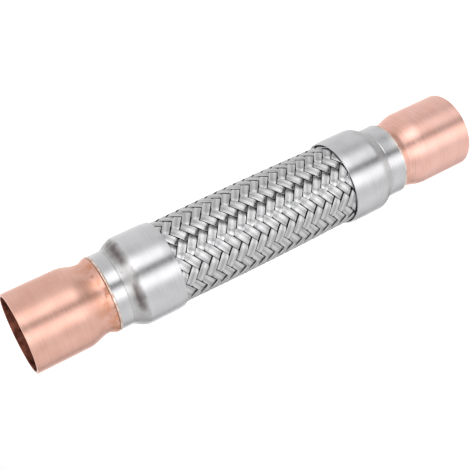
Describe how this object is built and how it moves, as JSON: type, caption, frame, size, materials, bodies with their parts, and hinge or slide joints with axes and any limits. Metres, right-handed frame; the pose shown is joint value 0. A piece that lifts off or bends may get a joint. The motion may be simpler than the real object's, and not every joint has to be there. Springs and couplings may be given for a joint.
{
  "type": "vibration eliminator",
  "caption": "Straight flexible pipe connector: corrugated hose in a woven steel braid, steel ferrules and copper solder-socket ends.",
  "frame": {"origin": "centre of the lower copper rim, in the plane of the rim", "axes": "+Z along the hose axis from the lower socket to the upper one; X and Y are free, because the part is round"},
  "size_m": [0.035, 0.035, 0.195],
  "materials": {
    "copper": "satin copper, finely brushed round the tube",
    "braze": "dull golden braze",
    "ferrule_steel": "brushed stainless steel, light heat tint at the shoulder",
    "braid_steel": "bright drawn stainless wire",
    "hose_steel": "plain thin stainless strip",
    "ring_steel": "plain turned and welded steel"
  },
  "bodies": {
    "root": {"corrugated_hose": "hose_steel", "braid_sleeve": "braid_steel", "ferrule_lower": "ferrule_steel", "ferrule_upper": "ferrule_steel", "copper_end_lower": "copper", "copper_end_upper": "copper", "braze_ring_lower": "braze", "braze_ring_upper": "braze", "support_ring_lower": "ring_steel", "support_ring_upper": "ring_steel", "hose_weld_lower": "ring_steel", "hose_weld_upper": "ring_steel"}
  },
  "joints": []
}
